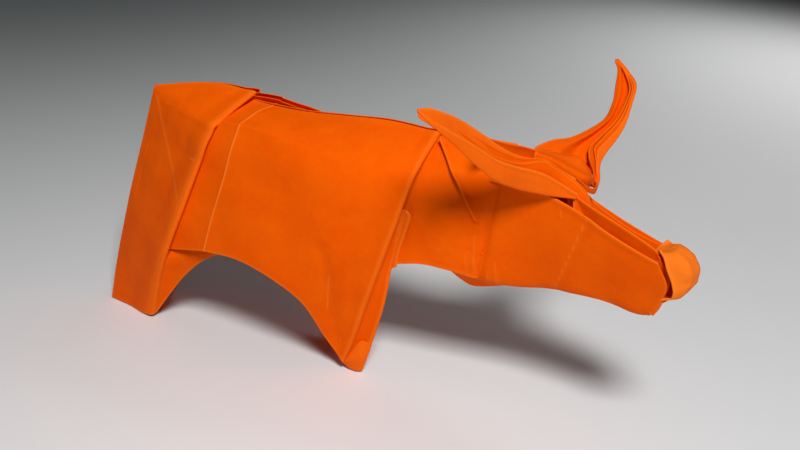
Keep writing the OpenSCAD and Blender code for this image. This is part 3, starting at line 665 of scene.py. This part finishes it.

# %% [markdown]
# The muzzle is the tip of the sheet bent down over the end of the snout. It is several plies thick there, so
# it stays round, and it gets more painted highlight than any other place. A squashed ball wouldn't lie on the
# cheeks as a flap does, so it is a net of five lines.

# %% the muzzle
edge = [[0.806, 0.56, 0.742], [0.834, 0.65, 0.700], [0.860, 0.69, 0.620], [0.894, 0.70, 0.530],
        [0.914, 0.67, 0.444], [0.910, 0.60, 0.378], [0.858, 0.52, 0.328]]
bulge = [[0.780, 0.30, 0.690], [0.868, 0.42, 0.745], [0.928, 0.48, 0.700], [0.962, 0.50, 0.615],
         [0.970, 0.48, 0.505], [0.938, 0.44, 0.394], [0.862, 0.36, 0.318]]
crest = [[0.776, 0, 0.670], [0.870, 0, 0.752], [0.942, 0, 0.715], [0.978, 0, 0.625],
         [0.985, 0, 0.511], [0.940, 0, 0.389], [0.862, 0, 0.310]]
muzzle = [[head(p, s) for p in line] for line, s in
          ((edge, RIGHT), (bulge, RIGHT), (crest, LEFT), (bulge, LEFT), (edge, LEFT))]
sheet("muzzle", smooth(muzzle, 70, 70, stiff=0.5), (1, 0, 0.3), thick=muzzle_t,
      wave=0.10, wave_len=4, seed=141, pale=0.45)
for s in (RIGHT, LEFT):
    a, b = head([0.868, 0.50, 0.330], s), head([0.840, 0.34, 0.160], s)
    tuck = [[a + np.array([-0.3, 0, 0.4]), a + np.array([0.25, s*0.15, 0.1])],
            [mix(a, b, 0.5) + np.array([-0.4, 0, 0.1]), mix(a, b, 0.5) + np.array([0.35, s*0.1, -0.1])],
            [b + np.array([-0.4, 0, 0.2]), b + np.array([0.2, 0, -0.1])]]
    sheet("muzzle_tuck_" + SIDE[s], smooth(tuck, 24, 12), (0, s, 0), thick=stiff_t,
          wave=0.02, seed=151 + s)
tell()

# %% [markdown]
# Each horn is a narrow point of the sheet, opened along its length. The right horn sweeps back as a channel
# open upwards: a wide near face with a bright rim, then two more plies whose edges run side by side. Near the
# tip the channel closes, and a small cover dips into it. A cone would be quicker, but it would look solid.

# %% the right horn
def nose(lines, reach):
    """Draw the ends of lines in towards their middle, so that they make a rounded tip."""
    middle = np.mean(lines, axis=0)
    t = np.clip(np.linspace(0, 1, len(middle))/reach, 0, 1)
    w = np.sqrt(np.maximum(1 - (1 - t)**2, 0.02))[:, None]
    return [middle + (line - middle)*w for line in lines]


toward = np.array([0.19, -0.91, 0.36])
rim_r = [[-0.186, 1.000, 0.705], [-0.121, 0.864, 0.585], [-0.062, 0.748, 0.494], [0.006, 0.612, 0.381],
         [0.071, 0.496, 0.278], [0.143, 0.391, 0.222], [0.242, 0.260, 0.165], [0.385, 0.147, 0.028]]
keel_r = [[-0.183, 1.000, 0.690], [-0.112, 0.884, 0.557], [-0.056, 0.748, 0.415], [0.019, 0.589, 0.227],
          [0.087, 0.461, 0.102], [0.155, 0.337, 0.028], [0.258, 0.240, -0.006], [0.380, 0.151, -0.010]]
wall_r = [[-0.180, 0.969, 0.733], [-0.137, 0.829, 0.676], [-0.093, 0.690, 0.602], [-0.028, 0.547, 0.489],
          [0.043, 0.419, 0.364], [0.112, 0.287, 0.273], [0.211, 0.167, 0.239], [0.345, 0.074, 0.125]]
count = 161
u = np.linspace(0.05, 7, count)
rim, keel, wall = nose([along(horn_line(line, RIGHT), u) for line in (rim_r, keel_r, wall_r)], 0.08)
d = 0.25*np.sin(np.pi*np.linspace(0, 1, count))[:, None]
channel = [rim, mix(rim, keel, 0.5) + d*[0, -1, -1], keel + d*[0, 0, -1],
           mix(keel, wall, 0.5) + d*[0, 1, -0.5], wall]
channel = patch(channel, np.linspace(0, 4, 45), np.arange(count))
sheet("right_horn", channel, (0, -1, -0.6), thick=double_t, side="u0", rolled=(0.10, 0.13, 0.7, 0.7),
      rims=(0, 1, 0, 0), wave=0.03, wave_len=6, seed=161, pale=0.12)
closed = 32
lid = slice(0, closed)
sink = ease(np.linspace(-0.6, 1, closed))[:, None]*[0, 0, -0.45]
cover = [rim[lid] + [0, 0.06, -0.02], mix(rim, wall, 0.5)[lid] + [0, 0, 0.1] + sink,
         wall[lid] + [0, -0.05, -0.03]]
sheet("right_horn_tip", patch(cover, np.linspace(0, 2, 21), np.arange(closed)), (0, -1, 1),
      rims=PLAIN, wave=0.01, seed=163, pale=0.3)

near_edge = [
    [-0.109, -0.756, 0.618], [-0.084, -0.713, 0.542], [-0.019, -0.601, 0.415], [0.032, -0.504, 0.319],
    [0.089, -0.419, 0.262], [0.141, -0.337, 0.240], [0.205, -0.233, 0.258], [0.259, -0.190, 0.218],
    [0.323, -0.140, 0.148], [0.384, -0.105, 0.071], [0.424, -0.089, -0.005], [0.445, -0.085, -0.077]]
near_base = [
    [-0.095, -0.764, 0.594], [-0.066, -0.709, 0.496], [0.003, -0.589, 0.355], [0.055, -0.496, 0.260],
    [0.110, -0.419, 0.211], [0.165, -0.345, 0.172], [0.238, -0.233, 0.119], [0.292, -0.190, 0.061],
    [0.334, -0.163, 0.019], [0.372, -0.136, -0.025], [0.413, -0.116, -0.074], [0.448, -0.101, -0.116]]
far_edge = [
    [-0.103, -0.705, 0.613], [-0.074, -0.659, 0.537], [0.015, -0.488, 0.386], [0.072, -0.388, 0.313],
    [0.125, -0.295, 0.268], [0.194, -0.194, 0.264], [0.250, -0.163, 0.228], [0.316, -0.116, 0.156],
    [0.381, -0.085, 0.080], [0.424, -0.074, 0.008], [0.446, -0.074, -0.072]]
edge, base = [horn_line(line) for line in (near_edge, near_base)]
drop = np.interp(np.arange(12), [0, 6, 8, 11], [1.5, 1.5, 0.2, 0])[:, None]
base = base + drop*[0, 0.35, -1]
ply = [base, mix(base, edge, 0.5) + toward*0.12, edge]
sheet("right_horn_ply", smooth(ply, 22, 120), (0, -1, 0.3), thick=thin_t, rolled=(0.06, 0.10, 0.5, 0.5),
      rims=(0, 0, 0.5, 0.5), wave=0.03, wave_len=6, seed=162)
edge = horn_line(far_edge)
between = mix(base, horn_line(near_edge), 0.45)
base = along(between, np.linspace(0, 11, 11)) - toward*0.4
ply = [base, mix(base, edge, 0.6) - toward*0.05, edge]
sheet("right_horn_far_ply", smooth(ply, 22, 120), (0, -1, 0.3), thick=thin_t, rolled=(0.06, 0.10, 0.5, 0.5),
      rims=(0, 0, 0.5, 0.5), wave=0.03, wave_len=6, seed=164)
tab = [[[0.364, -0.136, -0.002], [0.382, -0.143, -0.117]],
       [[0.407, -0.112, -0.033], [0.422, -0.124, -0.135]],
       [[0.448, -0.097, -0.062], [0.453, -0.109, -0.142]]]
sheet("right_horn_tab", smooth([horn_line(column) for column in tab], 24, 20), (0, -1, 0),
      rims=(1, 1, 0, 0), wave=0.02, seed=165)
tell()

# %% [markdown]
# The left horn curls up. Seen from its hollow side it is a fan of plies: a bright outer band, the deep scoop,
# two thin lips that run side by side, a flat front wall, and a last band that turns round to the back. Each
# is a sheet of its own with rolled edges, because one twisted sheet would blur the lines between them.

# %% the left horn
rear_l = [[0.209, 0.978, 0.937], [0.252, 0.919, 0.869], [0.273, 0.849, 0.716], [0.289, 0.783, 0.591],
          [0.286, 0.686, 0.449], [0.239, 0.554, 0.347], [0.177, 0.411, 0.273], [0.121, 0.302, 0.256],
          [0.071, 0.202, 0.199], [0.075, 0.110, 0.160]]
lip_l = [[0.219, 0.978, 0.941], [0.287, 0.926, 0.857], [0.345, 0.849, 0.733], [0.354, 0.760, 0.597],
         [0.345, 0.640, 0.455], [0.314, 0.512, 0.335], [0.292, 0.403, 0.244], [0.314, 0.329, 0.176],
         [0.350, 0.258, 0.095], [0.372, 0.180, 0.020]]
front_l = [[0.228, 0.984, 0.944], [0.294, 0.942, 0.858], [0.366, 0.872, 0.767], [0.382, 0.787, 0.619],
           [0.394, 0.674, 0.449], [0.382, 0.562, 0.307], [0.363, 0.465, 0.205], [0.357, 0.384, 0.119],
           [0.385, 0.285, 0.020], [0.393, 0.215, -0.035]]
u = np.linspace(0.0, 9, count)
t = np.minimum(u/8, 1)[:, None]
rear, lip, face = nose([along(horn_line(line), u) for line in (rear_l, lip_l, front_l)], 0.06)
opened = ease(t/0.12)
deep = (0.25 + 1.9*t**0.8)*opened
scoop = [rear, mix(rear, lip, 0.20) + toward*0.26*opened, mix(rear, lip, 0.38) + toward*0.05*opened,
         mix(rear, lip, 0.68) - toward*deep, lip - toward*deep*0.8]
sheet("left_horn_scoop", patch(scoop, np.linspace(0, 4, 49), np.arange(count)), toward, side="u0",
      rolled=(0.09, 0.11, 0.5, 0.6), rims=PLAIN, wave=0.02, wave_len=6, seed=172)
second = np.interp(t, [0, 0.25, 0.375, 0.5, 0.625, 0.75, 0.875, 1],
                   [0.40, 0.43, 0.42, 0.25, 0.20, 0.28, 0.75, 0.95])
third = np.interp(t, [0, 0.4, 0.62, 0.76, 0.875, 1], [0.75, 0.75, 0.55, 0.50, 0.88, 0.97])
line_two, line_three = mix(lip, face, second), mix(lip, face, third)
fan = [lip + toward*0.12*opened, mix(lip, line_two, 0.6) - toward*0.12*opened, line_two - toward*0.5*opened]
sheet("left_horn_lip", patch(fan, np.linspace(0, 2, 31), np.arange(count)), toward, thick=thin_t, side="u0",
      rolled=(0.06, 0.09, 0.4, 0.4), rims=PLAIN, wave=0.02, wave_len=5, seed=173)
fan = [line_two + toward*0.12*opened, mix(line_two, line_three, 0.5) + toward*0.02,
       line_three - toward*0.2*opened, mix(line_three, face, 0.4) - toward*0.4*opened]
sheet("left_horn_front", patch(fan, np.linspace(0, 3, 31), np.arange(count)), toward, thick=thin_t, side="u0",
      rolled=(0.06, 0.09, 0.4, 0.4), rims=PLAIN, wave=0.02, wave_len=5, seed=174)
round_back = 0.35*np.minimum(1, 6*t) + 1.3*t**0.8
skin = [line_three + toward*0.16*opened, mix(line_three, face, 0.5) + toward*0.2*opened, face,
        mix(face, rear, 0.5) - toward*round_back, rear - toward*0.12*opened]
sheet("left_horn_skin", patch(skin, np.linspace(0, 4, 49), np.arange(count)), (0.6, 1, 0), side="u0",
      rolled=(0.06, 0.09, 0.4, 0.4), rims=PLAIN, wave=0.02, wave_len=6, seed=171, pale=0.15)
tell()

# %% [markdown]
# Between the horns the point of the sheet swells into a soft forehead that falls back into the scoop. Behind
# it the nape is a low saddle of paper, and one raised ply crosses its near half. The edges of two more plies
# curl round the front of the forehead and run up into the lips of the left horn.

# %% nape, forehead and the curled plies
nape = [[horn([l, y, z - 0.1*max(0, l - 0.12)], LEFT) for y, z in (
    (-0.19, -0.05), (-0.11, 0.08), (0, 0.19), (0.11, 0.10), (0.19, -0.02))] for l in (-0.03, 0.08, 0.15)]
sheet("nape", smooth(nape, 30, 50), (0, 0, 1), thick=double_t, wave_len=5, seed=181)
edge = horn_line([[-0.079, -0.349, 0.377], [-0.040, -0.271, 0.344], [0.015, -0.194, 0.313],
                  [0.071, -0.116, 0.291], [0.118, -0.039, 0.260]])
behind = [edge + [0.2, 0.9, -2.6], edge + [0.1, 0.5, -1.2], edge]
sheet("nape_ply", smooth(behind, 20, 60), (0, -1, 0.3), rolled=(0.06, 0.1, 0.5, 0.5),
      rims=(0, 0, 0.5, 0.5), wave_len=4, seed=184)
forehead = [
    [[0.124, -0.047, 0.233], [0.120, 0.019, 0.235], [0.120, 0.078, 0.232], [0.114, 0.155, 0.197]],
    [[0.217, -0.047, 0.215], [0.195, 0.031, 0.223], [0.171, 0.101, 0.227], [0.154, 0.194, 0.172]],
    [[0.296, -0.047, 0.173], [0.267, 0.039, 0.201], [0.243, 0.124, 0.223], [0.228, 0.213, 0.161]],
    [[0.352, -0.039, 0.147], [0.320, 0.047, 0.179], [0.296, 0.132, 0.233], [0.289, 0.213, 0.172]],
    [[0.390, 0.000, 0.122], [0.368, 0.062, 0.143], [0.339, 0.132, 0.189], [0.343, 0.194, 0.144]],
    [[0.398, 0.058, 0.109], [0.387, 0.093, 0.115], [0.371, 0.132, 0.131], [0.377, 0.178, 0.100]]]
net = [[horn(p, LEFT) for p in column] for column in forehead]
# one more row drops like a skirt along the near edge, so that no gap shows below
net = [[column[0] + np.array([-0.1, 0.2, -2.0])] + column for column in net]
marks = [(trace(net, [(0.6, 3.3), (1.2, 3.6), (1.9, 3.7)], 12), 0.25, 0.12, 0.3),
         (trace(net, [(0.5, 2.4), (1.3, 3.0), (1.8, 3.2)], 12), 0.2, -0.10, 0.0)]
sheet("forehead", smooth(net, 80, 60), (0.3, -0.5, 1), thick=double_t, creases=marks,
      rims=(1, 0, 0, 0), wave=0.06, wave_len=4, seed=182)
upper = [[0.252, -0.039, 0.197], [0.317, -0.031, 0.154], [0.349, -0.019, 0.137], [0.384, 0.023, 0.109],
         [0.395, 0.078, 0.115], [0.382, 0.140, 0.144], [0.347, 0.213, 0.177], [0.316, 0.291, 0.205]]
lower = [[0.322, -0.054, 0.144], [0.373, -0.047, 0.099], [0.400, -0.023, 0.065], [0.423, 0.031, 0.038],
         [0.418, 0.116, 0.048], [0.395, 0.213, 0.088]]
for name, line, depth in (("curl_upper", upper, 0.8), ("curl_lower", lower, 0.9)):
    edge = horn_line(line)
    ribbon = [edge + [0.15, 0.25, -depth], edge + [0.08, 0.12, -depth*0.5], edge]
    sheet(name, smooth(ribbon, 16, 80), (0.2, -1, 0.2), thick=thin_t, rims=(0, 1, 0.5, 0.5),
          wave=0.02, seed=183)
tell()

# %% [markdown]
# The paper is dyed through and matt. The colour drifts a little over a few millimetres, and the fibres show
# as a fine grain. Rims and creases are lighter where the dye has worn, with painted highlight added on them;
# the crowns of rolls and the sheets that catch the most light get painted highlight. Pictures would need
# every sheet unwrapped, so the grain is noise, and the wear and the painted highlight come from the values
# kept on the points.

# %% a kit for materials
def material_kit(name):
    material = bpy.data.materials.new(name)
    material.use_nodes = True
    tree = material.node_tree

    def node(kind, **values):
        made = tree.nodes.new(kind)
        for key, value in values.items():
            if key in made.inputs:
                made.inputs[key].default_value = value
            else:
                setattr(made, key, value)
        return made

    def link(a, b):
        tree.links.new(a, b)

    def blend(a, b, factor):
        made = node("ShaderNodeMix", data_type="RGBA")
        for socket, value in ((made.inputs[6], a), (made.inputs[7], b), (made.inputs[0], factor)):
            if isinstance(value, (tuple, float, int)):
                socket.default_value = value
            else:
                link(value, socket)
        return made.outputs[2]

    def spread(value, low, high, to_low=0.0, to_high=1.0, way="LINEAR"):
        made = node("ShaderNodeMapRange", interpolation_type=way)
        link(value, made.inputs[0])
        for i, v in enumerate((low, high, to_low, to_high)):
            made.inputs[i + 1].default_value = v
        return made.outputs[0]

    return material, tree.nodes["Principled BSDF"], node, link, blend, spread


# %% the paper material
def orange_paper():
    material, shader, node, link, blend, spread = material_kit("orange_paper")
    place = node("ShaderNodeTexCoord")
    drift = node("ShaderNodeTexNoise", Scale=170.0, Detail=3.0)
    mottle = node("ShaderNodeTexNoise", Scale=1100.0, Detail=4.0, Roughness=0.6)
    stretch = node("ShaderNodeMapping")
    stretch.inputs["Rotation"].default_value = (0.4, 0.2, 0.5)
    stretch.inputs["Scale"].default_value = (2200.0, 9000.0, 9000.0)
    fibre = node("ShaderNodeTexNoise", Scale=1.0, Detail=3.0, Roughness=0.6)
    grain = node("ShaderNodeTexNoise", Scale=5200.0, Detail=3.0, Roughness=0.65)
    cockle = node("ShaderNodeTexNoise", Scale=650.0, Detail=2.0)
    for texture in (drift, mottle, stretch, grain, cockle):
        link(place.outputs["Object"], texture.inputs["Vector"])
    link(stretch.outputs[0], fibre.inputs["Vector"])
    crease, crown, rim, pale = [node("ShaderNodeAttribute", attribute_name=kept).outputs["Fac"]
                                for kept in ("crease", "crown", "rim", "pale")]

    deep = (0.86, 0.095, 0.0006, 1.0)
    bright = (0.90, 0.112, 0.0008, 1.0)
    fleck = (0.96, 0.155, 0.003, 1.0)
    thread = (0.74, 0.075, 0.0005, 1.0)
    # tint for rims (worn dye and painted highlight) and for the crowns of rolls (painted highlight)
    wear_and_highlight = (1.0, 0.22, 0.015, 1.0)
    # tint for creases: cracked dye and painted highlight
    cracked_crease_and_highlight = (1.0, 0.30, 0.04, 1.0)
    # painted highlight for the sheets that catch the most light
    painted_highlight = (1.0, 0.29, 0.03, 1.0)
    colour = blend(deep, bright, spread(drift.outputs[0], 0.35, 0.65))
    colour = blend(colour, fleck, spread(mottle.outputs[0], 0.45, 0.75, 0.0, 0.20))
    colour = blend(colour, thread, spread(fibre.outputs[0], 0.55, 0.8, 0.0, 0.20))
    # crowns get painted highlight; rims and creases get worn dye and painted highlight
    for kept, tint, most in ((crown, wear_and_highlight, 0.45), (rim, wear_and_highlight, 0.40), (crease, cracked_crease_and_highlight, 0.75)):
        colour = blend(colour, tint, spread(kept, 0.0, 1.0, 0.0, most))
    # the sheets that catch the most light get painted highlight over their whole surface
    colour = blend(colour, painted_highlight, pale)
    link(colour, shader.inputs["Base Color"])
    link(spread(mottle.outputs[0], 0.3, 0.7, 0.55, 0.68), shader.inputs["Roughness"])
    shader.inputs["Specular IOR Level"].default_value = 0.08
    shader.inputs["Specular Tint"].default_value = (1.0, 0.45, 0.05, 1.0)

    fine = node("ShaderNodeBump", Strength=0.35, Distance=0.00003)
    link(grain.outputs[0], fine.inputs["Height"])
    soft = node("ShaderNodeBump", Strength=0.5, Distance=0.00012)
    link(cockle.outputs[0], soft.inputs["Height"])
    link(fine.outputs[0], soft.inputs["Normal"])
    link(soft.outputs[0], shader.inputs["Normal"])
    return material


paper = orange_paper()
for piece in pieces:
    piece.data.materials.append(paper)
    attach(piece, "root")
    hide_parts("folded_sheet")
print("sheets:", len(pieces), "faces:", sum(len(p.data.polygons) for p in pieces))

# %% [markdown]
# The table top is a plain pale board. Towards the left and the back it is coloured greyer as painted shade,
# where the light falls off. A narrow lamp could make that, but it would change the light on the paper too, so
# some of it is painted shade in the board's colour.

# %% the floor
table_half = 3.0
corners = [(-table_half, -table_half, 0), (table_half, -table_half, 0), (table_half, table_half, 0),
           (-table_half, table_half, 0)]
mesh = bpy.data.meshes.new("floor")
mesh.from_pydata(corners, [], [(0, 1, 2, 3)])
floor = bpy.data.objects.new("floor", mesh)
bpy.context.scene.collection.objects.link(floor)

# %% the board's colour, with painted shade
grey_end, pale_end = -0.32, 0.02
slope = -0.25
board, shader, node, link, blend, spread = material_kit("pale_board")
shader.inputs["Roughness"].default_value = 0.6
place = node("ShaderNodeTexCoord")
apart = node("ShaderNodeSeparateXYZ")
link(place.outputs["Object"], apart.inputs[0])
slant = node("ShaderNodeMath", operation="MULTIPLY_ADD")
slant.inputs[1].default_value = slope
link(apart.outputs["Y"], slant.inputs[0])
link(apart.outputs["X"], slant.inputs[2])
shade = spread(slant.outputs[0], grey_end, pale_end, way="SMOOTHSTEP")
# painted shade: the board is coloured darker to the left and towards the back, where the light falls off
board_painted_shade = blend((0.29, 0.31, 0.31, 1.0), (0.87, 0.87, 0.87, 1.0), shade)
link(board_painted_shade, shader.inputs["Base Color"])
floor.data.materials.append(board)

# %% [markdown]
# One soft lamp stands over the viewer's right shoulder. A sun would light the far table as much as the near
# one, but a lamp this close fades with distance. A weak lamp behind the animal, with a narrowed beam, lifts
# the far table, and the room adds very little.

# %% light
def lamp(name, place, width, power):
    """A square soft lamp. It faces straight down until it is turned."""
    data = bpy.data.lights.new(name, "AREA")
    data.shape = "SQUARE"
    data.size = width
    data.energy = power
    made = bpy.data.objects.new(name, data)
    made.location = place
    made.visible_camera = False
    bpy.context.scene.collection.objects.link(made)
    return made


aim = Vector((0, 0, 0.02))
lamp_away = 0.40
way = Vector((0.090, -0.235, 0.310)).normalized()
desk = lamp("desk_lamp", aim + way*lamp_away, width=0.10, power=1.46)
desk.rotation_mode = "QUATERNION"
desk.rotation_quaternion = way.to_track_quat("Z", "Y")
room = lamp("room_lamp", (0.28, 0.52, 0.55), width=0.5, power=1.1)
room.data.spread = math.radians(95)

world = bpy.data.worlds.new("room")
world.use_nodes = True
background = world.node_tree.nodes["Background"]
background.inputs[0].default_value = (0.80, 0.83, 0.86, 1)
background.inputs[1].default_value = 0.03
bpy.context.scene.world = world
print("lamps:", [(made.name, round(made.data.energy, 2), "W") for made in (desk, room)])

# %% [markdown]
# The camera looks from the animal's right and slightly from the front, held with a small tilt. It was fitted
# to the photograph with the back level and the feet on the table.

# %% camera
azimuth, elevation, tilt = math.radians(12), math.radians(21), math.radians(9)
level = math.cos(elevation)
back = Vector((math.sin(azimuth)*level, -math.cos(azimuth)*level, math.sin(elevation)))
across = Vector((0, 0, 1)).cross(back).normalized()
up = back.cross(across)
right = across*math.cos(tilt) + up*math.sin(tilt)
above = up*math.cos(tilt) - across*math.sin(tilt)
looked_at = Vector((0.0019, 0, 0.0262))
camera_away = 0.150
eye = looked_at + back*camera_away
data = bpy.data.cameras.new("camera")
data.lens = 40.5
data.sensor_width = 36
data.clip_start = 0.005
data.clip_end = 20
camera = bpy.data.objects.new("camera", data)
bpy.context.scene.collection.objects.link(camera)
camera.matrix_world = Matrix((
    (right.x, above.x, back.x, eye.x), (right.y, above.y, back.y, eye.y), (right.z, above.z, back.z, eye.z),
    (0, 0, 0, 1)))
bpy.context.scene.camera = camera
bpy.context.scene.view_settings.view_transform = "Standard"
print("camera, mm:", [round(1000*v) for v in eye], "lens", data.lens, "mm")
